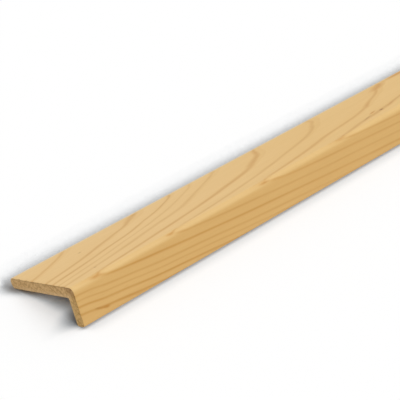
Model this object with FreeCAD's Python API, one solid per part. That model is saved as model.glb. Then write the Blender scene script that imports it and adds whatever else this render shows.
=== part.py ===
# Corner guard moulding: one length of clear pine, machined to an L section with unequal legs.
#
# Units are millimetres. The length runs along X, +Z is up, and the origin is at the middle of the
# underside. The moulding lies as it does unheld on a level floor: like a low ridged tent, with the
# rounded nose on top and the free edge of each leg on the floor.

import FreeCAD, Part
import math
import os

# Sizes of the stock
LENGTH = 1219.0  # a four-foot length
WIDE_LEG = 50.0  # from the narrow face to the free edge of the wide leg
NARROW_LEG = 19.0  # from the wide face to the free edge of the narrow leg
LEG_THICKNESS = 5.2  # the same in both legs

# Rounded edges of the section. A leg's face is its show side, and its back is its wall side.
NOSE_RADIUS = 2.5  # the long outer corner that takes the knocks
ROOT_RADIUS = 0.8  # the long inner corner that fits over the corner of a wall
WIDE_FACE_EASING = 1.0  # free edge of the wide leg, beside its face
WIDE_BACK_EASING = 2.0  # free edge of the wide leg, beside its back
NARROW_FACE_EASING = 0.8  # free edge of the narrow leg, beside its face
NARROW_BACK_EASING = 0.8  # free edge of the narrow leg, beside its back

NODE = "corner_guard"


def on_section(y, z):
    """A point of the section, from the sharp corner that the nose rounds off."""
    return FreeCAD.Vector(0, y, z)


def rounded_outline(corners):
    """A closed wire through the given corners, each with a tangent arc of its own radius."""
    arcs = []
    for index, (corner, radius) in enumerate(corners):
        arriving = (corner - corners[index - 1][0]).normalize()
        leaving = (corners[(index + 1) % len(corners)][0] - corner).normalize()
        start = corner - arriving * radius
        end = corner + leaving * radius
        centre = start + leaving * radius
        middle = centre + (arriving - leaving).normalize() * radius
        arcs.append((start, middle, end))
    edges = []
    for index, (start, middle, end) in enumerate(arcs):
        next_start = arcs[(index + 1) % len(arcs)][0]
        edges.append(Part.Arc(start, middle, end).toShape())
        edges.append(Part.LineSegment(end, next_start).toShape())
    return Part.Wire(edges)


def section():
    """The L outline, with the wide face level on top and the narrow face upright at -Y."""
    return rounded_outline(
        [
            (on_section(0, 0), NOSE_RADIUS),
            (on_section(WIDE_LEG, 0), WIDE_FACE_EASING),
            (on_section(WIDE_LEG, -LEG_THICKNESS), WIDE_BACK_EASING),
            (on_section(LEG_THICKNESS, -LEG_THICKNESS), ROOT_RADIUS),
            (on_section(LEG_THICKNESS, -NARROW_LEG), NARROW_BACK_EASING),
            (on_section(0, -NARROW_LEG), NARROW_FACE_EASING),
        ]
    )


def resting_angle():
    """How far the wide leg tips down, in radians, for both free edges to reach a level floor.

    Each leg rests on the easing beside its back, so the floor touches two circles at once.
    """
    across = (WIDE_LEG - WIDE_BACK_EASING) - (LEG_THICKNESS - NARROW_BACK_EASING)
    down = (NARROW_LEG - NARROW_BACK_EASING) - (LEG_THICKNESS - WIDE_BACK_EASING)
    between_centres = math.hypot(across, down)
    return math.atan2(down, across) - math.asin(
        (WIDE_BACK_EASING - NARROW_BACK_EASING) / between_centres
    )


def laid_down(stock):
    """Tips the stock onto its two free edges and centres it over the ground that it covers."""
    stock.rotate(on_section(0, 0), FreeCAD.Vector(1, 0, 0), -math.degrees(resting_angle()))
    box = stock.BoundBox
    stock.translate(-FreeCAD.Vector(box.Center.x, box.Center.y, box.ZMin))
    return stock


def corner_guard():
    """The whole moulding: the section run the length of the stock and sawn square."""
    return laid_down(Part.Face(section()).extrude(FreeCAD.Vector(LENGTH, 0, 0)))


def main():
    os.makedirs("parts", exist_ok=True)
    solid = corner_guard()
    if not solid.isValid() or len(solid.Solids) != 1:
        raise ValueError("the moulding has to be one valid solid")
    solid.exportStep(os.path.join("parts", NODE + ".step"))
    box = solid.BoundBox
    print(f"{box.XLength:.1f} x {box.YLength:.2f} x {box.ZLength:.2f} mm over all")
    print(f"resting angle {math.degrees(resting_angle()):.2f} degrees")
    print(f"volume {solid.Volume / 1000:.1f} cm3")


main()
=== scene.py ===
# Corner guard moulding: the looks of one machined length of clear pine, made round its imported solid.
#
# Sizes are in metres in the geometry and in millimetres in the wood's own places. The length runs
# along X, and the piece rests on the free edges of its two legs, on a floor at Z = 0.

import math

import bpy
from bpy.props import FloatProperty, FloatVectorProperty, IntProperty, PointerProperty
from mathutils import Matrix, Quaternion, Vector


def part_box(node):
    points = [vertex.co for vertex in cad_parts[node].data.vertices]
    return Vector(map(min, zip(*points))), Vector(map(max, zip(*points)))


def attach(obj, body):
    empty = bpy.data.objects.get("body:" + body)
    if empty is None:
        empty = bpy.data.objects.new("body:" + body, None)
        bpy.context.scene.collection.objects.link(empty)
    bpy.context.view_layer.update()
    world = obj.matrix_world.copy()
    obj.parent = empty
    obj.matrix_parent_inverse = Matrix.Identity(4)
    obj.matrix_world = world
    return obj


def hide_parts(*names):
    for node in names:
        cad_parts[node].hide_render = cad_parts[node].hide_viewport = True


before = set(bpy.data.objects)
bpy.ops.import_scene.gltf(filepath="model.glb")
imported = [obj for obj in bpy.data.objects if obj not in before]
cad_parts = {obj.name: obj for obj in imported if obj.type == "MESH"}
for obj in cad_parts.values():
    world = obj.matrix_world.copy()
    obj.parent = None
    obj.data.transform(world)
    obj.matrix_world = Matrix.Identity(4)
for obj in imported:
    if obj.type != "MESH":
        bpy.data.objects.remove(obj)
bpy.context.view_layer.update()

bl_info = {
    "name": "Corner guard moulding",
    "version": (1, 0, 0),
    "blender": (4, 5, 0),
    "location": "3D View > Sidebar > Moulding",
    "description": "Makes a length of pine corner guard moulding and a plain studio to see it in",
    "category": "Object",
}

NODE = "corner_guard"
BODY = "root"

MM = 0.001
FLOOR_LEVEL = 1.015  # light on open floor, where 1 shows a colour as it is written
# The floor's painted contact shadow, which dims the floor's own glow on top of its real shadow, in front of
# the piece, under it, at the mouth of that hollow, behind it, and beside the tip of the wide leg: how far it
# reaches, which way it looks for the piece, and at what openness the floor's own white starts, is full, and
# starts from
FLOOR_ZONES = (
    (12.0 * MM, 0.8, 0.37, 0.72, 0.55),
    (24.0 * MM, 0.0, 0.06, 0.62, 0.0),
    (24.0 * MM, -0.6, 0.30, 0.95, 0.0),
    (24.0 * MM, -0.8, 0.75, 0.862, 0.0),
    (8.0 * MM, -0.8, 0.80, 0.98, 0.0),
)
# Where one zone gives way to another, across the piece and from its middle towards either end
FRONT_TO_UNDER = (-26.5 * MM, -20.0 * MM)
MOUTH_TO_UNDER = (-19.0 * MM, -7.0 * MM)
UNDER_TO_BEHIND = (8.0 * MM, 34.0 * MM)
UNDER_TO_MOUTH = (598.0 * MM, 606.0 * MM)
BEHIND_TO_TIP = (604.0 * MM, 612.0 * MM)
SIDEWAYS = (-0.6, 0.6, 0.55, -0.55)  # two places along the piece, and how far the floor there looks along it
# painted shade in the floor's colour, and a painted cool tint in the floor's painted shadow
MOUTH_SHADE = 0.6  # how much darker the floor is at its darkest in that mouth
TIP_SHARE = 0.6  # how much of that it is beside the tip
SHADE_TINT = (0.84, 1.0, 1.13)  # offsets the warm light that the wood throws on the floor beside it
WHITE = (1.0, 1.0, 1.0)
SOCKETS = ("Float", "Int", "Vector", "Material", "Geometry")
FLOAT, WHOLE, VECTOR, MATERIAL, GEOMETRY = (f"NodeSocket{kind}" for kind in SOCKETS)


# Settings


def distance(name, description, value, largest=2.0):
    """A length setting in metres, given in millimetres."""
    return FloatProperty(
        name=name,
        description=description,
        default=value * MM,
        min=0.0,
        max=largest,
        precision=5,
        subtype="DISTANCE",
        unit="LENGTH",
    )


def colour(name, description, value):
    """A colour setting."""
    return FloatVectorProperty(
        name=name, description=description, default=value, size=3, min=0.0, max=1.0, subtype="COLOR"
    )


def share(name, description, value, largest=1.0):
    """A plain factor."""
    return FloatProperty(
        name=name, description=description, default=value, min=0.0, max=largest, subtype="FACTOR"
    )


def angle(name, description, degrees):
    """An angle setting, given in degrees."""
    return FloatProperty(
        name=name,
        description=description,
        default=math.radians(degrees),
        subtype="ANGLE",
        unit="ROTATION",
    )


def triple(name, description, value, subtype, unit="NONE"):
    """A place or a direction."""
    return FloatVectorProperty(
        name=name, description=description, default=value, size=3, subtype=subtype, unit=unit
    )


class MouldingSizes(bpy.types.PropertyGroup):
    """The section of the moulding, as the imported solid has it."""

    wide_leg: distance("Wide leg", "From the narrow face to the free edge of the wide leg", 50.0)
    narrow_leg: distance("Narrow leg", "From the wide face to the free edge of the narrow leg", 19.0)
    thickness: distance("Thickness", "Thickness of both legs", 5.2)
    nose: distance("Nose radius", "The long outer corner", 2.5)
    root: distance("Root radius", "The long inner corner, over the corner of the wall", 0.8)
    wide_face: distance("Wide face easing", "Free edge of the wide leg, beside its face", 1.0)
    wide_back: distance("Wide back easing", "Free edge of the wide leg, beside its back", 2.0)
    narrow_face: distance("Narrow face easing", "Free edge of the narrow leg, beside its face", 0.8)
    narrow_back: distance("Narrow back easing", "Free edge of the narrow leg, beside its back", 0.8)


class SawnEndSizes(bpy.types.PropertyGroup):
    """What the crosscut saw left at both ends."""

    chip_depth: distance("Chip depth", "How far the arris is broken back", 0.75)
    saw_relief: distance("Saw relief", "How rough the sawn face is", 0.16)
    bevel: distance("Arris wear", "How far the sharp arris is rubbed down", 0.14)
    fibre_length: distance("Fibre length", "Longest torn fibre at the wall side", 1.3)
    fibre_radius: distance("Fibre radius", "Radius of a torn fibre at its foot", 0.075)
    fibre_count: IntProperty(
        name="Fibres", description="Torn fibres at each end", default=170, min=0, max=1000
    )
    seed: IntProperty(name="Seed", description="Chooses the chips and the fibres", default=7, min=0)


class PineFinish(bpy.types.PropertyGroup):
    """Colours of clear planed pine, with painted highlights and painted shade among them."""

    earlywood: colour("Earlywood", "The pale wood between the growth lines", (0.775, 0.527, 0.235))
    latewood: colour("Latewood", "The dark line that closes a year", (0.585, 0.325, 0.085))
    red_latewood: colour("Red latewood", "Latewood of a wide, resinous year", (0.620, 0.315, 0.062))
    # partly the narrow leg's own warmer wood, partly painted shade that makes its face darker and more
    # orange than the wide face
    narrow_tone_and_shade: colour("Edge leg tint", "Warmth of the narrow leg's wood", (0.985, 0.905, 0.725))
    far_tint: colour("Far tint", "Warmth of the wide leg away from the near end", (0.985, 0.965, 0.87))
    # painted highlight: a paler rim along the rounded free edge of the wide leg
    edge_rim_highlight: colour("Dry edge", "Wood along the free edge of the wide leg", (0.714, 0.552, 0.327))
    # painted highlight: the nose is made lighter along its rounding
    nose_highlight: colour("Rubbed nose", "Wood of the nose, polished by handling", (0.800, 0.530, 0.205))
    sawn: colour("Sawn wood", "End grain between the growth lines", (0.700, 0.455, 0.205))
    sawn_line: colour("Sawn growth line", "End grain of a growth line", (0.440, 0.255, 0.095))
    sawn_wall: colour("Sawn wall side", "End grain beside the wall side", (0.780, 0.550, 0.300))
    sawn_rim: colour("Sawn rim", "End grain just under the show faces", (0.360, 0.215, 0.085))
    dark_fleck: colour("Dark fleck", "Resin flecks and bark specks", (0.270, 0.100, 0.005))
    amber: colour("Amber", "Resin-rich wood by the branch trace", (0.560, 0.270, 0.055))


class StudioSettings(bpy.types.PropertyGroup):
    """Floor, light and camera."""

    floor_side: distance("Floor side", "Side of the square floor", 60000.0, largest=200.0)
    floor: colour("Floor", "Colour of the floor", (0.90, 0.90, 0.90))
    floor_seen: share("Floor seen", "How much of its light the floor shows to the camera", 0.45)
    sky: share("Sky", "Level of the even light from all round", 0.66, largest=2.0)
    lamp: share("Lamp", "Level of the soft lamp", 1.26, largest=10.0)
    lamp_spread: angle("Lamp spread", "How wide the soft lamp looks from the moulding", 45)
    lamp_from: triple(
        "Lamp from", "Direction from the moulding to the lamp", (0.446, -0.12, 0.887), "DIRECTION"
    )
    camera_at: triple(
        "Camera place",
        "Where the camera stands",
        (-0.92206, -0.45320, 0.36892),
        "TRANSLATION",
        "LENGTH",
    )
    camera_towards: triple(
        "Camera direction", "Where the camera looks", (0.58032, 0.63990, -0.50374), "DIRECTION"
    )
    camera_roll: angle("Camera roll", "How far the camera leans to one side", -4.095)
    lens: FloatProperty(
        name="Lens", description="Focal length in millimetres", default=130.19, min=1.0
    )


# The place of the section in the frame


def resting_angle(sizes):
    """How far the wide leg tips down for the easings beside both backs to touch the floor."""
    across = (sizes.wide_leg - sizes.wide_back) - (sizes.thickness - sizes.narrow_back)
    down = (sizes.narrow_leg - sizes.narrow_back) - (sizes.thickness - sizes.wide_back)
    return math.atan2(down, across) - math.asin(
        (sizes.wide_back - sizes.narrow_back) / math.hypot(across, down)
    )


def corner_place(sizes):
    """Where the sharp corner under the nose lies, at the middle of the length."""
    low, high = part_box(NODE)
    sine, cosine = math.sin(resting_angle(sizes)), math.cos(resting_angle(sizes))
    face_depth = sizes.narrow_leg - sizes.narrow_face
    outermost = sizes.narrow_face * cosine - face_depth * sine - sizes.narrow_face
    back_depth = sizes.narrow_leg - sizes.narrow_back
    back_across = sizes.thickness - sizes.narrow_back
    lowest = -back_across * sine - back_depth * cosine - sizes.narrow_back
    return Vector(((low.x + high.x) / 2, low.y - outermost, low.z - lowest))


# Node helpers


class Wiring:
    """Adds nodes to one tree, and sets or links their inputs."""

    def __init__(self, tree, result=None):
        self.tree = tree
        self.result = result

    def feed(self, socket, value):
        """Links or sets one input. A colour is given as three numbers."""
        if isinstance(value, bpy.types.NodeSocket):
            self.tree.links.new(value, socket)
        elif value is not None:
            socket.default_value = (*value, 1.0) if socket.type == "RGBA" else value

    def add(self, kind, *values, inputs=None, **settings):
        """A node with its settings, its first inputs in order, and any others by name."""
        node = self.tree.nodes.new(kind)
        for name, value in settings.items():
            setattr(node, name, value)
        for socket, value in zip(node.inputs, values):
            self.feed(socket, value)
        for name, value in (inputs or {}).items():
            self.feed(node.inputs[name], value)
        return node

    def out(self, kind, *values, **settings):
        """The first output of a node made in the same way."""
        return self.add(kind, *values, **settings).outputs[0]

    def math(self, operation, *values, clamp=False):
        return self.out("ShaderNodeMath", *values, operation=operation, use_clamp=clamp)

    def chain(self, operation, values):
        """One number from several, worked out from left to right."""
        total = values[0]
        for value in values[1:]:
            total = self.math(operation, total, value)
        return total

    def plus(self, *values):
        return self.chain("ADD", values)

    def minus(self, *values):
        return self.chain("SUBTRACT", values)

    def times(self, *values):
        return self.chain("MULTIPLY", values)

    def times_plus(self, value, factor, more):
        return self.math("MULTIPLY_ADD", value, factor, more)

    def vector(self, operation, *values):
        node = self.add("ShaderNodeVectorMath", *values, operation=operation)
        return node.outputs["Value" if operation == "LENGTH" else "Vector"]

    def scaled(self, vector, factor):
        return self.out("ShaderNodeVectorMath", vector, operation="SCALE", inputs={"Scale": factor})

    def combine(self, x, y=0.0, z=0.0):
        return self.out("ShaderNodeCombineXYZ", x, y, z)

    def split(self, vector):
        return self.add("ShaderNodeSeparateXYZ", vector).outputs

    def ramp(self, value, start, end, low=0.0, high=1.0, kind="SMOOTHSTEP"):
        """A value that goes from low to high while the input goes from start to end."""
        return self.out("ShaderNodeMapRange", value, start, end, low, high, interpolation_type=kind)

    def fade(self, value, start, end):
        """A value that goes from 1 to 0 while the input goes from start to end."""
        return self.ramp(value, start, end, 1.0, 0.0)

    def blend(self, factor, first, second, data_type="FLOAT", how="MIX"):
        """A mix of two numbers, vectors or colours."""
        node = self.add("ShaderNodeMix", factor, data_type=data_type, blend_type=how)
        place, output = {"FLOAT": (2, 0), "VECTOR": (4, 1), "RGBA": (6, 2)}[data_type]
        self.feed(node.inputs[place], first)
        self.feed(node.inputs[place + 1], second)
        return node.outputs[output]

    def noise(self, vector, scale, detail=2.0, roughness=0.5, seed=None):
        """Smooth noise from 0 to 1, in four dimensions where a seed chooses it.

        A scale of three numbers is one for each direction.
        """
        if isinstance(scale, tuple):
            vector, scale = self.vector("MULTIPLY", vector, scale), 1.0
        kind = "3D" if seed is None else "4D"
        values = (vector, seed, scale, detail, roughness)
        return self.out("ShaderNodeTexNoise", *values, noise_dimensions=kind)

    def group(self, tree, **inputs):
        """Another tree as one node. An input's name has _ for each space."""
        kind = "GeometryNodeGroup" if tree.bl_idname == "GeometryNodeTree" else "ShaderNodeGroup"
        inputs = {name.replace("_", " "): value for name, value in inputs.items()}
        return self.add(kind, node_tree=tree, inputs=inputs).outputs

    def give(self, **values):
        """The finished tree, its outputs linked. An output's name has _ for each space."""
        for name, value in values.items():
            self.feed(self.result[name.replace("_", " ")], value)
        self.lay_out()
        return self.tree

    def lay_out(self):
        """Sets the nodes out in columns, each node to the right of those that feed it."""
        column = dict.fromkeys(self.tree.nodes, 0)
        moved = True
        while moved:
            moved = False
            for link in self.tree.links:
                if column[link.to_node] <= column[link.from_node]:
                    column[link.to_node] = column[link.from_node] + 1
                    moved = True
        rows = {}
        for node, place in column.items():
            node.location = (place * 220, -rows.setdefault(place, 0) * 190)
            rows[place] += 1


def new_tree(name, kind, inputs, outputs):
    """A node group with named sockets. An input is (name, socket type) and perhaps its default."""
    tree = bpy.data.node_groups.new(name, kind)
    for label, socket, *default in inputs:
        item = tree.interface.new_socket(label, in_out="INPUT", socket_type=socket)
        if default:
            item.default_value = default[0]
    for label, socket in outputs:
        tree.interface.new_socket(label, in_out="OUTPUT", socket_type=socket)
    given = tree.nodes.new("NodeGroupInput").outputs
    return Wiring(tree, tree.nodes.new("NodeGroupOutput").inputs), given


# Geometry trees

SECTION_INPUTS = [
    "Wide leg", "Narrow leg", "Thickness", "Nose radius", "Root radius",
    "Wide face easing", "Wide back easing", "Narrow face easing", "Narrow back easing",
]


def section_values(sizes):
    """The section's sizes under the names of the tree's inputs, which stand in the same order."""
    return dict(zip(SECTION_INPUTS, (getattr(sizes, key) for key in MouldingSizes.__annotations__)))


def section_tree():
    """The L section as two curves from free edge to free edge, one down each side of the stock.

    Both have the same number of points, and points of the same number face each other.
    """
    inputs = [(name, FLOAT) for name in SECTION_INPUTS]
    inputs += [("Arc steps", WHOLE, 8), ("Wide rows", WHOLE, 74), ("Narrow rows", WHOLE, 24)]
    outputs = [("Show side", GEOMETRY), ("Wall side", GEOMETRY)]
    w, given = new_tree("moulding_section", "GeometryNodeTree", inputs, outputs)
    wide, narrow, thick = given["Wide leg"], given["Narrow leg"], given["Thickness"]

    def thirds(face, back):
        """Where the flat of a free edge is parted, counted from the show side."""
        third = w.math("DIVIDE", w.minus(thick, given[face], given[back]), 3.0)
        show = w.plus(given[face], third)
        return show, w.plus(show, third)

    wide_show, wide_wall = thirds("Wide face easing", "Wide back easing")
    narrow_show, narrow_wall = thirds("Narrow face easing", "Narrow back easing")
    sides = {
        "Show_side": (
            [(wide, wide_show), (wide, 0.0), (0.0, 0.0), (0.0, narrow), (narrow_show, narrow)],
            ["Wide face easing", "Nose radius", "Narrow face easing"],
        ),
        "Wall_side": (
            [(wide, wide_wall), (wide, thick), (thick, thick), (thick, narrow), (narrow_wall, narrow)],
            ["Wide back easing", "Root radius", "Narrow back easing"],
        ),
    }
    index = w.out("GeometryNodeInputIndex")
    # after rounding, the two long straights are the only runs that are cut up
    wide_run = w.plus(given["Arc steps"], 1.0)
    on_wide = w.times(w.math("COMPARE", index, wide_run, 0.5), given["Wide rows"])
    on_narrow = w.times(w.math("COMPARE", index, w.times(wide_run, 2.0), 0.5), given["Narrow rows"])
    cuts = w.plus(on_wide, on_narrow)
    for name, (corners, roundings) in sides.items():
        places = w.add("GeometryNodeIndexSwitch", data_type="VECTOR")
        radii = w.add("GeometryNodeIndexSwitch", data_type="FLOAT")
        for node in (places, radii):
            while len(node.index_switch_items) < len(corners):
                node.index_switch_items.new()
            w.feed(node.inputs[0], index)
        for number, (across, below) in enumerate(corners, 1):
            w.feed(places.inputs[number], w.combine(0.0, across, w.times(below, -1.0)))
        for number, rounding in enumerate(roundings, 2):
            w.feed(radii.inputs[number], given[rounding])
        points = w.out("GeometryNodePoints", len(corners), places.outputs[0], radii.outputs[0])
        outline = w.out("GeometryNodePointsToCurves", points, None, index)
        radius = w.out("GeometryNodeInputRadius")
        rounded = w.out("GeometryNodeFilletCurve", outline, given["Arc steps"], radius, mode="POLY")
        sides[name] = w.out("GeometryNodeSubdivideCurve", rounded, cuts)
    return w.give(**sides)


# The sawn ends
CHIP_GRAIN = 340.0  # cells of the chips' noise in a metre
SAW_GRAIN = 900.0  # cells of the sawn face's noise in a metre
WALL_SHARE = 0.4  # how much of the show side's wear the wall side has
CHIPPED = (0.42, 0.74)  # noise at which a chip starts and is deepest
SHOW_BAND = 0.9 * MM  # how deep the wear goes in from the show side
WALL_BAND = 0.7 * MM  # how deep it goes in from the wall side
END_BAND = 2.2 * MM  # how far from an end the saw's marks move the wood
ARRIS_BAND = 0.5 * MM  # how far from an end the arris sinks
DRAW_BACK = 0.016  # how far the inner rows draw back from the free edges, as a share of their place
CREASE = math.radians(38)  # a sharper fold than this is not smoothed
END_FACING = 0.55  # faces that look along the length by more than this are sawn
JITTER = 0.3 * MM  # how far a torn fibre's foot strays
FOOT_DEPTH = 0.45 * MM  # how deep the foot sits in the wood
SHORTEST = 0.3 * MM  # added to each fibre's length
LEFT_OUT = 0.72  # chance above which a fibre is missing


def piece_tree(name, inputs):
    """A tree for one piece, which takes the section's sizes and where it lies."""
    shared = [("Geometry", GEOMETRY), ("Length", FLOAT), *((size, FLOAT) for size in SECTION_INPUTS)]
    shared += [("Resting angle", FLOAT), ("Corner place", VECTOR)]
    return new_tree(name, "GeometryNodeTree", shared + inputs, [("Geometry", GEOMETRY)])


def section_sides(w, given, section):
    """Both sides of the section, from the piece's own inputs."""
    return w.group(section, **{name.replace(" ", "_"): given[name] for name in SECTION_INPUTS})


def laid_in_place(w, given, geometry):
    """The geometry tipped and set down where the solid lies."""
    tilt = w.combine(w.times(given["Resting angle"], -1.0))
    return w.out("GeometryNodeTransform", geometry, given["Corner place"], tilt)


def moulding_tree(section):
    """A closed box of quads that is bent round the section and run the length of the stock."""
    inputs = [("Stations", WHOLE), ("Rows through", WHOLE), ("End crowding", FLOAT), ("Chip depth", FLOAT)]
    inputs += [("Saw relief", FLOAT), ("Arris wear", FLOAT), ("Seed", WHOLE)]
    inputs += [("Planed faces", MATERIAL), ("Sawn ends", MATERIAL)]
    w, given = piece_tree("machined_moulding", inputs)
    sides = section_sides(w, given, section)
    count = w.out("GeometryNodeAttributeDomainSize", sides["Show side"], component="CURVE")
    box = w.add("GeometryNodeMeshCube", (1.0, 1.0, 1.0), given["Stations"], count, given["Rows through"])
    position = w.out("GeometryNodeInputPosition")
    along, round_section, through = w.split(position)

    # along the length, stations crowd towards both ends
    signed = w.times(along, 2.0)
    end = w.math("SIGN", signed)
    inward = w.math("MAXIMUM", w.minus(1.0, w.math("ABSOLUTE", signed)), 0.0)
    half = w.times(given["Length"], 0.5)
    from_end = w.times(w.math("POWER", inward, given["End crowding"]), half)

    # round the section, each row of the box has its own point on both sides
    row = w.math("ROUND", w.times(w.plus(round_section, 0.5), w.minus(count, 1.0)))
    show, wall = (
        w.out("GeometryNodeSampleIndex", side, position, row, data_type="FLOAT_VECTOR", domain="POINT")
        for side in sides
    )
    # through the thickness, rows crowd towards both sides
    deep = w.plus(w.times(w.math("SINE", w.times(through, math.pi)), 0.5), 0.5)
    place = w.blend(deep, show, wall, "VECTOR")
    # inside a sawn face, the rows draw back from the free edges, where they would lie on one line
    at_edge = w.math("COMPARE", w.math("ABSOLUTE", round_section), 0.5, 0.001)
    inside = w.times(deep, w.minus(1.0, deep), w.minus(1.0, at_edge))
    place = w.scaled(place, w.times_plus(inside, -DRAW_BACK, 1.0))

    # the saw broke the arris of the show side, and left both sawn faces rough
    end_offset = w.combine(end)
    chip_noise = w.noise(w.vector("ADD", show, end_offset), CHIP_GRAIN, 2.5, 0.6, given["Seed"])
    on_wide_face = w.ramp(w.split(show)[1], 0.0, 4.0 * MM, 0.2, 1.0)
    chips = w.times(w.ramp(chip_noise, *CHIPPED), given["Chip depth"], on_wide_face)
    from_show = w.times(given["Thickness"], deep)
    from_wall = w.minus(given["Thickness"], from_show)
    near_show = w.fade(from_show, 0.0, SHOW_BAND)
    near_wall = w.fade(from_wall, 0.0, WALL_BAND)
    near_end = w.ramp(from_end, 0.0, END_BAND, 1.0, 0.0, kind="LINEAR")
    at_arris = w.fade(from_end, 0.0, ARRIS_BAND)
    relief_noise = w.noise(w.vector("ADD", place, end_offset), SAW_GRAIN, 3.0, 0.65, given["Seed"])
    relief = w.times(relief_noise, given["Saw relief"])
    chipped = w.times(chips, w.plus(near_show, w.times(near_wall, WALL_SHARE)))
    worn = w.times(given["Arris wear"], w.times_plus(near_wall, WALL_SHARE, near_show))
    from_end = w.plus(from_end, w.times(w.plus(relief, chipped, worn), near_end))
    x = w.times(w.minus(half, from_end), end)

    # the worn arris also sinks a little into the stock
    into = w.vector("NORMALIZE", w.vector("SUBTRACT", wall, show))
    sink = w.times(w.times_plus(near_wall, -WALL_SHARE, near_show), at_arris, given["Arris wear"])
    place = w.vector("ADD", place, w.scaled(into, sink))
    place = w.vector("ADD", place, w.combine(x))
    shaped = w.out("GeometryNodeSetPosition", box.outputs[0], None, place)

    smooth = w.out("GeometryNodeSetShadeSmooth", laid_in_place(w, given, shaped), None, True)
    sharp = w.math("GREATER_THAN", w.out("GeometryNodeInputMeshEdgeAngle"), CREASE)
    creased = w.out("GeometryNodeSetShadeSmooth", smooth, sharp, False, domain="EDGE")
    realised = w.out("GeometryNodeRealizeInstances", creased)
    planed = w.out("GeometryNodeSetMaterial", realised, None, given["Planed faces"])
    along_normal = w.split(w.out("GeometryNodeInputNormal"))[0]
    facing_end = w.math("GREATER_THAN", w.math("ABSOLUTE", along_normal), END_FACING)
    sawn = w.out("GeometryNodeSetMaterial", planed, facing_end, given["Sawn ends"])
    return w.give(Geometry=sawn)


def fibre_tree(section):
    """Torn fibres that hang from the wall-side arris of both sawn ends."""
    inputs = [("Fibre length", FLOAT), ("Fibre radius", FLOAT), ("Fibres", WHOLE)]
    inputs += [("Clear of edges", FLOAT), ("Set in", FLOAT), ("Seed", WHOLE), ("Material", MATERIAL)]
    w, given = piece_tree("torn_fibres", inputs)
    wall = section_sides(w, given, section)["Wall side"]
    half = w.times(given["Length"], 0.5)
    foot_radius = given["Fibre radius"]
    cone = w.out("GeometryNodeMeshCone", 5, 2, 1, w.times(foot_radius, 0.12), foot_radius, 1.0)
    ends = w.add("GeometryNodeJoinGeometry")

    def chance(low, high, salt):
        """A random number, or a random vector between two."""
        kind, first, output = ("FLOAT_VECTOR", 0, 0) if isinstance(low, tuple) else ("FLOAT", 2, 1)
        node = w.add("FunctionNodeRandomValue", data_type=kind)
        w.feed(node.inputs[first], low)
        w.feed(node.inputs[first + 1], high)
        w.feed(node.inputs["Seed"], w.plus(given["Seed"], float(salt)))
        return node.outputs[output]

    across, depth = w.split(w.out("GeometryNodeInputPosition"))[1:]
    far = w.minus(given["Wide leg"], given["Clear of edges"])
    low = w.minus(given["Clear of edges"], given["Narrow leg"])
    near_edge = w.math("MAXIMUM", w.math("GREATER_THAN", across, far), w.math("LESS_THAN", depth, low))
    for salt, end in ((0, -1.0), (10, 1.0)):
        spread = w.add("GeometryNodeCurveToPoints", wall, given["Fibres"], mode="COUNT")
        inset = w.times(chance(0.4, 1.0, salt + 1), given["Set in"])
        x = w.times(w.minus(half, inset), end)
        outward = w.vector("CROSS_PRODUCT", (1.0, 0.0, 0.0), spread.outputs["Tangent"])
        inward = -0.75 * end
        lean = chance((min(inward, 0.0), -0.5, -0.5), (max(inward, 0.0), 0.5, 0.5), salt + 2)
        towards = w.vector("NORMALIZE", w.vector("ADD", outward, lean))
        jitter = chance((0.0, -JITTER, -JITTER), (0.0, JITTER, JITTER), salt + 3)
        foot = w.vector("SUBTRACT", w.combine(x), w.scaled(outward, FOOT_DEPTH))
        foot = w.vector("ADD", foot, jitter)
        moved = w.out("GeometryNodeSetPosition", spread.outputs["Points"], None, None, foot)
        gone = w.math("MAXIMUM", near_edge, w.math("GREATER_THAN", chance(0.0, 1.0, salt + 4), LEFT_OUT))
        kept = w.out("GeometryNodeDeleteGeometry", moved, gone, domain="POINT")
        length = w.math("POWER", chance(0.0, 1.0, salt + 5), 2.2)
        length = w.times(w.ramp(length, 0.0, 1.0, 0.35, 1.0, kind="LINEAR"), given["Fibre length"])
        length = w.plus(length, SHORTEST)
        girth = chance(0.6, 1.3, salt + 6)
        turned = w.out("FunctionNodeAlignRotationToVector", axis="Z", inputs={"Vector": towards})
        placing = {"Instance": cone, "Rotation": turned, "Scale": w.combine(girth, girth, length)}
        w.feed(ends.inputs[0], w.out("GeometryNodeInstanceOnPoints", kept, inputs=placing))
    realised = w.out("GeometryNodeRealizeInstances", laid_in_place(w, given, ends.outputs[0]))
    smooth = w.out("GeometryNodeSetShadeSmooth", realised, None, True)
    return w.give(Geometry=w.out("GeometryNodeSetMaterial", smooth, None, given["Material"]))


def new_object(name, data):
    """An object in the scene."""
    made = bpy.data.objects.new(name, data)
    bpy.context.scene.collection.objects.link(made)
    return made


def piece_from_tree(name, tree, values):
    """An object whose plain mesh is what the tree makes from these values."""
    piece = new_object(name, bpy.data.meshes.new(name))
    modifier = piece.modifiers.new(tree.name, "NODES")
    modifier.node_group = tree
    for item in tree.interface.items_tree:
        if item.item_type == "SOCKET" and item.in_out == "INPUT" and item.name in values:
            modifier[item.identifier] = values[item.name]
    evaluated = piece.evaluated_get(bpy.context.evaluated_depsgraph_get())
    mesh = bpy.data.meshes.new_from_object(evaluated)
    piece.modifiers.remove(modifier)
    piece.data = mesh
    mesh.name = name
    return piece


# The wood

# Radii in millimetres, from the pith, at which a year closes. The stock was cut well away from it.
YEAR_LINES = [
    70.56, 74.26, 77.76, 81.36, 85.68, 88.18, 90.26, 92.68, 96.28, 99.95, 103.99,
    107.79, 111.29, 114.99, 118.29, 122.19, 125.39, 128.99, 131.79, 135.29, 138.99, 142.19,
]
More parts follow.
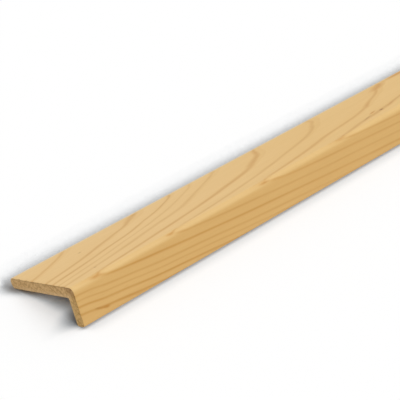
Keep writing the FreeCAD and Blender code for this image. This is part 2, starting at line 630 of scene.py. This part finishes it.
# For the year between each line and the next: how dark its last line is, how much of the year that line
# takes, and its redness
YEAR_LOOKS = [
    (0.50, 0.35, 0.3), (0.60, 0.35, 0.4), (0.60, 0.38, 0.7), (0.77, 0.31, 0.3), (0.85, 0.50, 0.3),
    (0.42, 0.45, 0.3), (0.50, 0.55, 0.3), (0.85, 0.42, 0.5), (0.54, 0.36, 0.3), (0.70, 0.36, 0.6),
    (0.80, 0.36, 0.3), (0.60, 0.35, 0.5), (0.80, 0.32, 0.3), (0.45, 0.38, 0.2), (0.85, 0.35, 0.7),
    (0.60, 0.33, 0.3), (0.70, 0.35, 0.5), (0.60, 0.35, 0.3), (0.75, 0.30, 0.4), (0.60, 0.35, 0.2),
    (0.70, 0.35, 0.3),
]


def section_place_group(sizes, length):
    """Turns a point of the piece into its place in the stock, in millimetres."""
    outputs = [("Place", VECTOR)]
    outputs += [(name, FLOAT) for name in ("Skin depth", "End distance", "Narrow leg", "Wide leg", "Nose")]
    w, given = new_tree("section_place", "ShaderNodeTree", [("Vector", VECTOR)], outputs)
    corner = corner_place(sizes)
    corner.x -= length / 2
    turn, millimetres = (-resting_angle(sizes), 0.0, 0.0), (MM, MM, MM)
    local = w.out("ShaderNodeMapping", given["Vector"], corner, turn, millimetres, vector_type="TEXTURE")
    place = w.vector("MULTIPLY", local, (1.0, 1.0, -1.0))
    along, across, below = w.split(place)
    narrow = w.ramp(w.minus(below, across), 0.2, 3.2)
    return w.give(
        Place=place,
        Skin_depth=w.math("SMOOTH_MIN", across, below, 2.5),
        End_distance=w.math("MINIMUM", along, w.minus(length / MM, along)),
        Narrow_leg=narrow,
        Wide_leg=w.minus(1.0, narrow),
        Nose=w.times(w.fade(across, 0.6, 5.5), w.fade(below, 1.1, 2.7)),
    )


def spot_group():
    """A soft spot with its own place, turn and size."""
    inputs = [(name, VECTOR) for name in ("Vector", "Centre", "Turn", "Size")]
    w, given = new_tree("soft_spot", "ShaderNodeTree", inputs, [("Mask", FLOAT)])
    local = w.out("ShaderNodeMapping", *(given[name] for name, _ in inputs), vector_type="TEXTURE")
    return w.give(Mask=w.fade(w.vector("LENGTH", local), 0.0, 1.0))


def add_spots(w, spot, place, spots):
    """The sum of soft spots, each a row of numbers.

    A row has the centre along, across and below and the half sizes the same way, in millimetres, then
    the amount, and where it is turned, the degrees on the wide face and perhaps on the narrow face.
    """
    total = 0.0
    for row in spots:
        wide, narrow = (*row[7:], 0.0, 0.0)[:2]
        turn = (0.0, -math.radians(narrow), math.radians(wide))
        mask = w.group(spot, Vector=place, Centre=row[:3], Size=row[3:6], Turn=turn)["Mask"]
        total = w.times_plus(mask, row[6], total)
    return total


def bent_line(w, value, points):
    """A curve through points in a unit square, straight between them."""
    node = w.add("ShaderNodeFloatCurve", inputs={"Value": value})
    curve = node.mapping.curves[0]
    while len(curve.points) < len(points):
        curve.points.new(0.5, 0.5)
    for point, place in zip(curve.points, points):
        point.location = place
    for point in curve.points:
        point.handle_type = "VECTOR"
    node.mapping.update()
    return node.outputs[0]


# Places where the grain swirls, as add_spots takes them. The amount is how far it moves the rings.
SWIRLS = [
    (100, 12, 2, 75, 16, 14, 0.53), (165, 7, 2, 60, 14, 12, -0.10), (215, 20, 0, 34, 13, 10, 0.28),
    (250, 44, 0, 40, 18, 10, 0.97), (75, 44, 0, 50, 18, 10, 1.34), (185, 44, 0, 50, 18, 10, -0.27),
    (120, 33, 0, 50, 16, 10, -0.95), (14, 0, 3, 14, 6, 8, 0.41), (0, 0, 12, 40, 9, 12, 0.53),
    (120, 1, 2, 30, 5, 5, 0.40), (60, 1, 2, 30, 5, 5, 0.20), (110, 5, -1, 150, 6, 4, 0.23),
    (180, 16, 0, 40, 9, 8, -0.48), (238, 15, 0, 26, 8, 8, -0.33), (15, -1, 12, 12, 9, 12, -0.10),
    (103, 47, 0, 24, 9, 8, 0.54), (30, 46, 0, 30, 12, 8, 0.16), (5, 0, 7, 14, 8, 9, 0.53),
    (30, 0, 10, 22, 8, 8, 0.33), (80, 0, 14, 40, 8, 9, 0.32), (140, 0, 12, 50, 8, 10, 0.16),
    (205, 0, 10, 50, 8, 10, 0.33), (180, 1, 2, 30, 5, 5, 0.11), (66, 45, 0, 16, 9, 8, -0.65),
    (265, 48, 0, 24, 10, 8, 1.37), (25, 26, 0, 40, 14, 8, 0.32), (60, 20, 0, 36, 10, 8, -0.42),
    (205, 48, 0, 24, 12, 8, 0.50), (164, 47, 0, 32, 16, 8, -0.65), (200, 8, 0, 20, 7, 5, -0.55),
    (218, 12, 0, 16, 6, 5, -0.54), (55, 28, 0, 22, 10, 6, 0.59), (130, 27, 0, 32, 12, 8, 0.74),
    (158, 60, 0, 40, 24, 8, 0.73), (200, 56, 0, 40, 16, 8, -0.49),
]


def growth_ring_group(spot, length):
    """The years of the tree: the stock runs past a pith line that bends along its length."""
    inputs = [("Place", VECTOR), ("Waviness", FLOAT, 0.30)]
    outputs = [("Latewood", FLOAT), ("Redness", FLOAT), ("Early tone", FLOAT)]
    w, given = new_tree("growth_rings", "ShaderNodeTree", inputs, outputs)
    place = given["Place"]
    along, across, below = w.split(place)
    span = length / MM
    share_along = w.math("DIVIDE", along, span)
    # the pith leaves its first bend gently, and eases back in the far half
    across_travel = (420.0, 285.0), (700.0, 262.0), (1000.0, 285.0), (span, 300.0)
    below_travel = (400.0, 350.0), (600.0, 415.0), (800.0, 380.0), (1000.0, 290.0), (span, 200.0)
    offsets = []
    for value, later, (start, slope, bend) in (
        (across, across_travel, (57.36, -2.74, -1.55)),
        (below, below_travel, (76.76, 12.6, -0.68)),
    ):
        points = [(0.0, 0.0), (265.0, 265.0), *later]
        travel = bent_line(w, share_along, [(x / span, y / span) for x, y in points])
        travel = w.times(travel, span / 100.0)
        pith = w.times_plus(travel, w.times_plus(travel, bend, slope), start)
        offsets.append(w.minus(value, pith))
    radius = w.vector("LENGTH", w.combine(0.0, *offsets))
    # a slow drift of the rings and a quicker ripple
    for stretch, part in (((0.011, 0.07, 0.07), 1.0), ((0.08, 0.35, 0.35), 0.3)):
        wave = w.noise(place, stretch)
        radius = w.plus(radius, w.times(w.minus(wave, 0.5), w.times(given["Waviness"], part)))
    radius = w.minus(radius, add_spots(w, spot, place, SWIRLS))

    years = len(YEAR_LOOKS)
    first, last = YEAR_LINES[0], YEAR_LINES[-1]
    lines = [((r - first) / (last - first), n / years) for n, r in enumerate(YEAR_LINES)]
    year = bent_line(w, w.ramp(radius, first, last, kind="LINEAR"), lines)
    looks = w.add("ShaderNodeValToRGB", year)
    looks.color_ramp.interpolation = "CONSTANT"
    stops = looks.color_ramp.elements
    stops.remove(stops[-1])
    for number, look in enumerate(YEAR_LOOKS):
        stop = stops.new(number / years) if number else stops[0]
        stop.color = (*look, 1.0)
    dark, width, red = w.split(looks.outputs[0])
    phase = w.math("FRACT", w.times(year, float(years)))
    # the lines are finer towards the free edge of the wide leg, and on its face away from the near end
    crest = w.times_plus(width, -0.4, 1.0)
    finer_along = w.blend(w.ramp(across, 4.0, 14.0), 1.0, w.ramp(along, 130.0, 240.0, 1.0, 0.62))
    spread = w.times(width, w.ramp(across, 12.0, 48.0, 1.0, 0.42), finer_along)
    rise = w.ramp(phase, w.times_plus(spread, -0.6, crest), crest)
    fall = w.fade(phase, crest, w.times_plus(spread, 0.4, crest))
    line = w.times(rise, fall, dark)
    return w.give(Latewood=line, Redness=red, Early_tone=w.math("POWER", phase, 2.5))


def wood_fibre_group():
    """Long fibres of the wood: streaks on a planed face, specks on a sawn end."""
    inputs = [("Place", VECTOR), ("Fineness", FLOAT, 1.0)]
    outputs = [(name, FLOAT) for name in ("Streaks", "Fine streaks", "Flecks", "Height")]
    w, given = new_tree("wood_fibre", "ShaderNodeTree", inputs, outputs)
    place = w.scaled(given["Place"], given["Fineness"])
    streaks = w.noise(place, (0.012, 0.55, 0.55), 3.0, 0.55)
    fine = w.noise(place, (0.05, 2.6, 2.6), 2.0, 0.6)
    return w.give(
        Streaks=w.ramp(streaks, 0.25, 0.75, kind="LINEAR"),
        Fine_streaks=w.ramp(fine, 0.25, 0.75, kind="LINEAR"),
        Flecks=w.ramp(w.noise(place, (0.16, 2.2, 2.2), 1.0, 0.5), 0.66, 0.80),
        Height=w.times_plus(fine, 0.6, w.times(streaks, 0.4)),
    )


def handling_group():
    """Smudges from handling, and the darkened arris beside a saw cut."""
    inputs = [("Place", VECTOR), ("End distance", FLOAT), ("Arris width", FLOAT, 0.8)]
    w, given = new_tree("handling", "ShaderNodeTree", inputs, [("Arris", FLOAT), ("Smudges", FLOAT)])
    ragged = w.noise(given["Place"], 1.4, 2.0, 0.6)
    edge = w.times(given["Arris width"], w.plus(ragged, 0.3))
    cloud = w.noise(given["Place"], (0.02, 0.05, 0.05), 3.0, 0.6)
    arris = w.fade(w.math("DIVIDE", given["End distance"], edge), 0.0, 1.0)
    return w.give(Arris=arris, Smudges=w.ramp(cloud, 0.35, 0.70))


# Marks on the planed faces, as add_spots takes them. The amount is how strong a mark is.
DARK_MARKS = [
    (31.6, 35.6, 0, 1.4, 0.65, 1.5, 0.75, -12), (20.8, 9.4, 0, 1.2, 0.6, 1.5, 0.75, -10),
    (209, 8, 0, 7, 1.1, 1.5, 0.40, 18), (222, 9.2, 0, 2.4, 1.4, 1.5, 1.00, 15),
    (22, 50, 1.2, 1.6, 0.9, 1.2, 0.70), (9.8, 0, 14.2, 2.6, 2, 0.6, 0.28, 0, 13),
]
AMBER_MARKS = [
    (14.2, 0.8, 0.7, 4.6, 1.3, 1.2, 0.90), (16.6, 1.8, 0.1, 2.8, 1, 1, 0.55, 32),
    (17.6, 0.4, 1.1, 3.4, 0.9, 0.9, 0.40, 0, 12), (60.3, 1, 0.5, 3.8, 1.2, 1.1, 0.95),
    (63.6, 2.1, 0.1, 3.8, 0.8, 1, 0.50, 20), (66, 0.2, 1.6, 7.5, 0.8, 0.9, 0.45, 0, 10),
    (122.8, 0.8, 0.7, 5, 1.2, 1.1, 0.85), (124.8, 2, 0.1, 3.2, 0.8, 1, 0.50, 22),
    (130, 0.2, 1.4, 9, 0.8, 0.9, 0.45, 0, 8), (180.3, 1.3, 0.4, 5.5, 1.3, 1.1, 0.65),
    (184, 2.8, 0, 4.4, 0.9, 1, 0.45, 18), (187, 0.2, 1.3, 9, 0.8, 0.9, 0.35, 0, 7),
    (217.3, 11.6, 0, 4.8, 1.2, 1.5, 1.20, 15), (231.5, 10.9, 0, 6.5, 1.3, 1.5, 0.90, 20),
    (227.5, 24.2, 0, 5.5, 1.8, 2, 0.60, 35), (257, 43, 0, 13, 4.6, 2, 0.85, 22),
    (279, 47, 0, 16, 3.4, 2, 1.00), (12, 0, 14.9, 6, 2, 1, 0.95, 0, 13),
    (14.8, 0, 15.6, 2.6, 2, 1.4, 0.70, 0, 8), (30, 0, 17, 14, 2, 1.2, 0.35, 0, 7),
]


def new_material(name):
    """An empty material with its shader and output."""
    material = bpy.data.materials.new(name)
    material.use_nodes = True
    material.node_tree.nodes.clear()
    w = Wiring(material.node_tree)
    shader = w.add("ShaderNodeBsdfPrincipled")
    w.add("ShaderNodeOutputMaterial", shader.outputs[0])
    return material, w, shader


def wood_material(name, groups, fineness):
    """An empty material that has the section, the rings and the fibres of the wood at each point."""
    material, w, shader = new_material(name)
    section = w.group(groups["place"], Vector=w.add("ShaderNodeTexCoord").outputs["Object"])
    rings = w.group(groups["rings"], Place=section["Place"])
    fibre = w.group(groups["fibre"], Place=section["Place"], Fineness=fineness)
    return material, w, shader, section, rings, fibre


def tinted(w, tone, tints):
    """The colour times several tints in turn, each (amount, tint)."""
    for amount, tint in tints:
        tone = w.blend(amount, tone, tint, "RGBA", "MULTIPLY")
    return tone


def bands(w, place, stretch, direction, *shape):
    """Soft parallel bands. The shape is their scale, distortion, detail and detail scale."""
    stretched = w.vector("MULTIPLY", place, stretch)
    wave = w.add("ShaderNodeTexWave", stretched, *shape, wave_type="BANDS", bands_direction=direction)
    return wave.outputs[1]


def dress(w, shader, tone, rough, gloss, height, strength, depth):
    """Gives the shader its colour, sheen and relief, the depth in metres."""
    w.feed(shader.inputs["Base Color"], tone)
    w.feed(shader.inputs["Roughness"], rough)
    w.feed(shader.inputs["Specular IOR Level"], gloss)
    w.feed(shader.inputs["Normal"], w.out("ShaderNodeBump", strength, depth, inputs={"Height": height}))
    w.lay_out()


STREAK_TINT = (0.965, 0.950, 0.915)
FINE_STREAK_TINT = (0.962, 0.947, 0.912)
WORN_TINT = (0.86, 0.80, 0.70)  # flecks and the arris of a planed face
SMUDGE_TINT = (0.975, 0.960, 0.930)
MOTTLE_TINT = (0.70, 0.66, 0.58)
SAWN_STREAK_TINT = (0.90, 0.88, 0.84)
SAWN_FLECK_TINT = (0.70, 0.66, 0.60)
SAWN_EDGE_TINT = (0.99, 0.98, 0.86)  # the sawn end of the narrow leg
SAWN_CORNER_TINT = (0.66, 0.60, 0.56)


def planed_pine(finish, groups):
    """Clear pine as it leaves the moulder: silky, with growth lines and fine streaks."""
    material, w, shader, section, rings, fibre = wood_material("planed_pine", groups, 1.0)
    place = section["Place"]
    handling = w.group(groups["handling"], Place=place, End_distance=section["End distance"])
    along, across, _ = w.split(place)

    line = w.blend(rings["Redness"], finish.latewood, finish.red_latewood, "RGBA")
    tone = w.blend(w.times(rings["Early tone"], 0.14), finish.earlywood, line, "RGBA")
    broken = w.times(rings["Latewood"], w.ramp(fibre["Streaks"], 0.0, 0.8, 0.72, 1.0))
    softer = w.ramp(along, 30.0, 190.0, 0.88, 0.50)
    broken = w.times(broken, w.blend(section["Narrow leg"], 1.0, softer))
    tone = w.blend(broken, tone, line, "RGBA")
    tints = [
        (w.times(fibre["Streaks"], 0.9), STREAK_TINT),
        (fibre["Fine streaks"], FINE_STREAK_TINT),
        (w.times(fibre["Flecks"], 0.5), WORN_TINT),
        # partly painted shade: the narrow leg is made darker and warmer than the wide leg
        (section["Narrow leg"], finish.narrow_tone_and_shade),
        (w.times(w.ramp(along, 50.0, 200.0), section["Wide leg"]), finish.far_tint),
    ]
    tone = tinted(w, tone, tints)
    # painted highlight along the rounded free edge of the wide leg
    rim_highlight_mask = w.times(w.ramp(across, 47.2, 48.9, 0.0, 0.85), section["Wide leg"])
    tone = w.blend(rim_highlight_mask, tone, finish.edge_rim_highlight, "RGBA")
    # painted highlight along the rounded nose
    tone = w.blend(w.times(section["Nose"], 0.55), tone, finish.nose_highlight, "RGBA")
    smudges, arris = w.times(handling["Smudges"], 0.5), w.times(handling["Arris"], 0.6)
    tone = tinted(w, tone, [(smudges, SMUDGE_TINT), (arris, WORN_TINT)])
    amber = add_spots(w, groups["spot"], place, AMBER_MARKS)
    amber = w.math("MULTIPLY", amber, w.ramp(fibre["Streaks"], 0.1, 0.7, 0.55, 1.0), clamp=True)
    tone = w.blend(amber, tone, finish.amber, "RGBA")
    dark = w.math("MINIMUM", add_spots(w, groups["spot"], place, DARK_MARKS), 1.0)
    tone = w.blend(w.times(dark, 0.95), tone, finish.dark_fleck, "RGBA")

    rough = w.times_plus(rings["Latewood"], -0.10, 0.56)
    rough = w.times_plus(fibre["Fine streaks"], 0.06, rough)
    knife = bands(w, place, (0.12, 0.004, 0.004), "X", 1.0, 0.4, 1.0, 1.0)
    height = w.times_plus(knife, 0.10, w.times(fibre["Height"], 0.8))
    dress(w, shader, tone, rough, 0.32, height, 0.35, 0.05 * MM)
    return material


def sawn_end_grain(finish, groups):
    """End grain off the crosscut saw: darker, mottled and furry, with a burnished rim."""
    material, w, shader, section, rings, fibre = wood_material("sawn_end_grain", groups, 0.9)
    place, skin_depth = section["Place"], section["Skin depth"]
    handling = w.group(groups["handling"], Place=place, End_distance=skin_depth, Arris_width=1.1)

    tone = w.blend(w.times(rings["Latewood"], 0.75), finish.sawn, finish.sawn_line, "RGBA")
    mottle = w.noise(place, 0.75, 4.0, 0.68)
    tints = [
        (w.ramp(mottle, 0.40, 0.62), MOTTLE_TINT),
        (fibre["Fine streaks"], SAWN_STREAK_TINT),
        (fibre["Flecks"], SAWN_FLECK_TINT),
    ]
    tone = tinted(w, tone, tints)
    tone = w.blend(w.times(handling["Arris"], 0.75), tone, finish.sawn_rim, "RGBA")
    tone = w.blend(w.ramp(skin_depth, 3.0, 4.6, 0.0, 0.32), tone, finish.sawn_wall, "RGBA")
    across, below = w.split(place)[1:]
    in_corner = w.ramp(w.plus(across, below), 3.0, 10.0, 0.9, 0.0)
    tone = tinted(w, tone, [(section["Narrow leg"], SAWN_EDGE_TINT), (in_corner, SAWN_CORNER_TINT)])

    rough = w.ramp(mottle, 0.3, 0.7, 0.72, 0.88, kind="LINEAR")
    kerf = bands(w, place, (0.0, 0.26, 0.10), "Y", 1.0, 1.6, 2.0, 1.4)
    height = w.times_plus(kerf, 0.35, w.times(mottle, 0.8))
    height = w.times_plus(fibre["Fine streaks"], 0.5, height)
    dress(w, shader, tone, rough, 0.2, height, 0.5, 0.25 * MM)
    return material


def pine_materials(scene):
    """Both finishes of the stock, built once round the same node groups."""
    sizes, finish, length = scene.moulding_sizes, scene.moulding_finish, stock_length()
    names = ("planed_pine", "sawn_end_grain")
    if all(name in bpy.data.materials for name in names):
        return [bpy.data.materials[name] for name in names]
    spot = spot_group()
    groups = {
        "spot": spot,
        "place": section_place_group(sizes, length),
        "rings": growth_ring_group(spot, length),
        "fibre": wood_fibre_group(),
        "handling": handling_group(),
    }
    return [planed_pine(finish, groups), sawn_end_grain(finish, groups)]


# Operators


def stock_length():
    """The sold length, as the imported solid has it."""
    low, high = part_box(NODE)
    return high.x - low.x


def shared_section():
    """The section's tree, built once for both pieces."""
    return bpy.data.node_groups.get("moulding_section") or section_tree()


def placed_values(scene):
    """What both geometry trees need to lay their geometry down where the solid is."""
    sizes = scene.moulding_sizes
    return {
        **section_values(sizes),
        "Length": stock_length(),
        "Resting angle": resting_angle(sizes),
        "Corner place": corner_place(sizes),
    }


def hand_over(piece):
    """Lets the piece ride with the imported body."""
    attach(piece, BODY)


class MOULDING_OT_stock(bpy.types.Operator):
    """Make the machined length of pine, with its two sawn ends"""

    bl_idname = "moulding.stock"
    bl_label = "Make the moulding"

    def execute(self, context):
        ends = context.scene.moulding_ends
        planed, sawn = pine_materials(context.scene)
        values = {
            **placed_values(context.scene),
            "Stations": 300,
            "Rows through": 9,
            "End crowding": 1.6,
            "Chip depth": ends.chip_depth,
            "Saw relief": ends.saw_relief,
            "Arris wear": ends.bevel,
            "Seed": ends.seed,
            "Planed faces": planed,
            "Sawn ends": sawn,
        }
        stock = piece_from_tree("pine_moulding", moulding_tree(shared_section()), values)
        hand_over(stock)
        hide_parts(NODE)
        return {"FINISHED"}


class MOULDING_OT_fibres(bpy.types.Operator):
    """Add the fibres that the saw tore at the wall side of both ends"""

    bl_idname = "moulding.fibres"
    bl_label = "Add the torn fibres"

    def execute(self, context):
        ends = context.scene.moulding_ends
        values = {
            **placed_values(context.scene),
            "Fibre length": ends.fibre_length,
            "Fibre radius": ends.fibre_radius,
            "Fibres": ends.fibre_count,
            "Clear of edges": 5.0 * MM,
            "Set in": 0.7 * MM,
            "Seed": ends.seed,
            "Material": pine_materials(context.scene)[1],
        }
        hand_over(piece_from_tree("saw_fibres", fibre_tree(shared_section()), values))
        return {"FINISHED"}


class MOULDING_OT_studio(bpy.types.Operator):
    """Set up the pale floor, the soft light and the camera"""

    bl_idname = "moulding.studio"
    bl_label = "Set up the studio"

    def execute(self, context):
        studio = context.scene.moulding_studio
        self.lay_floor(studio)
        self.light(studio)
        self.place_camera(studio)
        context.scene.view_settings.view_transform = "Standard"
        return {"FINISHED"}

    def seen_directly(self, w):
        """1 for rays from the camera, and for those that reflect or pass through."""
        path = w.add("ShaderNodeLightPath").outputs
        total = w.plus(path["Is Camera Ray"], path["Is Glossy Ray"])
        return w.math("ADD", total, path["Is Transmission Ray"], clamp=True)

    def lay_floor(self, studio):
        half = studio.floor_side / 2
        mesh = bpy.data.meshes.new("floor")
        corners = [(-half, -half, 0.0), (half, -half, 0.0), (half, half, 0.0), (-half, half, 0.0)]
        mesh.from_pydata(corners, [], [(0, 1, 2, 3)])
        floor = new_object("floor", mesh)
        material, w, shader = new_material("white_floor")
        shader.inputs["Roughness"].default_value = 1.0
        shader.inputs["Specular IOR Level"].default_value = 0.0
        # part of the white that the camera sees is the floor's own glow, dimmed where an edge is near: a
        # painted contact shadow on top of the real one
        seen = self.seen_directly(w)
        x, y, _ = w.split(w.add("ShaderNodeTexCoord").outputs["Object"])
        from_middle = w.math("ABSOLUTE", x)
        under, behind = w.ramp(y, *FRONT_TO_UNDER), w.ramp(y, *UNDER_TO_BEHIND)
        mouth = w.times(under, w.fade(y, *MOUTH_TO_UNDER), w.ramp(from_middle, *UNDER_TO_MOUTH))
        tip = w.times(behind, w.ramp(from_middle, *BEHIND_TO_TIP))
        settings = []
        for first, *others in zip(*FLOOR_ZONES):
            for zone, value in zip((under, mouth, behind, tip), others):
                first = w.blend(zone, first, value)
            settings.append(first)
        reach, lean, start, end, least = settings
        # beside an end, it also looks along the piece
        sideways = w.times(w.math("ABSOLUTE", lean), w.ramp(x, *SIDEWAYS))
        towards = w.vector("NORMALIZE", w.combine(sideways, lean, 0.5))
        looking = {"Distance": reach, "Normal": towards}
        near = w.add("ShaderNodeAmbientOcclusion", samples=16, inputs=looking).outputs["AO"]
        open_floor = w.ramp(near, start, end, least, 1.0)
        own_white = w.times(open_floor, 1.0 - studio.floor_seen * FLOOR_LEVEL)
        w.feed(shader.inputs["Emission Strength"], w.times(seen, own_white))
        w.feed(shader.inputs["Emission Color"], w.blend(open_floor, SHADE_TINT, WHITE, "RGBA"))
        # painted shade: the floor's colour is darkened in the mouth of the hollow and beside the tip of the
        # wide leg
        shaded = w.math("MAXIMUM", mouth, w.times(tip, TIP_SHARE))
        shade = w.times_plus(w.times(shaded, w.minus(1.0, open_floor)), -MOUTH_SHADE, 1.0)
        shown = w.scaled([studio.floor_seen] * 3, shade)
        w.feed(shader.inputs["Base Color"], w.blend(seen, studio.floor, shown, "RGBA"))
        w.lay_out()
        mesh.materials.append(material)

    def light(self, studio):
        world = bpy.data.worlds.new("white_room")
        world.use_nodes = True
        world.node_tree.nodes.clear()
        w = Wiring(world.node_tree)
        strength = w.blend(self.seen_directly(w), studio.sky, 1.0)
        w.add("ShaderNodeOutputWorld", w.out("ShaderNodeBackground", WHITE, strength))
        w.lay_out()
        bpy.context.scene.world = world
        lamp = bpy.data.lights.new("soft_lamp", "SUN")
        lamp.energy = studio.lamp
        lamp.angle = studio.lamp_spread
        holder = new_object("soft_lamp", lamp)
        holder.rotation_euler = Vector(studio.lamp_from).to_track_quat("Z", "Y").to_euler()
        holder.location = Vector(studio.lamp_from) * 2

    def place_camera(self, studio):
        lens = bpy.data.cameras.new("camera")
        lens.lens = studio.lens
        lens.sensor_width = 36.0
        lens.clip_start = 0.01
        camera = new_object("camera", lens)
        level = Vector(studio.camera_towards).to_track_quat("-Z", "Y")
        camera.rotation_euler = (level @ Quaternion((0, 0, 1), studio.camera_roll)).to_euler()
        camera.location = studio.camera_at
        bpy.context.scene.camera = camera


OPERATORS = (MOULDING_OT_stock, MOULDING_OT_fibres, MOULDING_OT_studio)


class MOULDING_PT_panel(bpy.types.Panel):
    """Lists the steps that make the moulding"""

    bl_idname = "MOULDING_PT_panel"
    bl_label = "Corner guard moulding"
    bl_space_type = "VIEW_3D"
    bl_region_type = "UI"
    bl_category = "Moulding"

    def draw(self, context):
        for operator in OPERATORS:
            self.layout.operator(operator.bl_idname)
        for name in SETTINGS:
            box = self.layout.box()
            settings = getattr(context.scene, name)
            for key in settings.__annotations__:
                box.prop(settings, key)


SETTINGS = {
    "moulding_sizes": MouldingSizes,
    "moulding_ends": SawnEndSizes,
    "moulding_finish": PineFinish,
    "moulding_studio": StudioSettings,
}


def register():
    for kind in (*SETTINGS.values(), *OPERATORS, MOULDING_PT_panel):
        bpy.utils.register_class(kind)
    for name, kind in SETTINGS.items():
        setattr(bpy.types.Scene, name, PointerProperty(type=kind))


def unregister():
    for name in SETTINGS:
        delattr(bpy.types.Scene, name)
    for kind in reversed((*SETTINGS.values(), *OPERATORS, MOULDING_PT_panel)):
        bpy.utils.unregister_class(kind)


def main():
    register()
    bpy.ops.moulding.studio()
    bpy.ops.moulding.stock()
    bpy.ops.moulding.fibres()


if __name__ == "__main__":
    main()
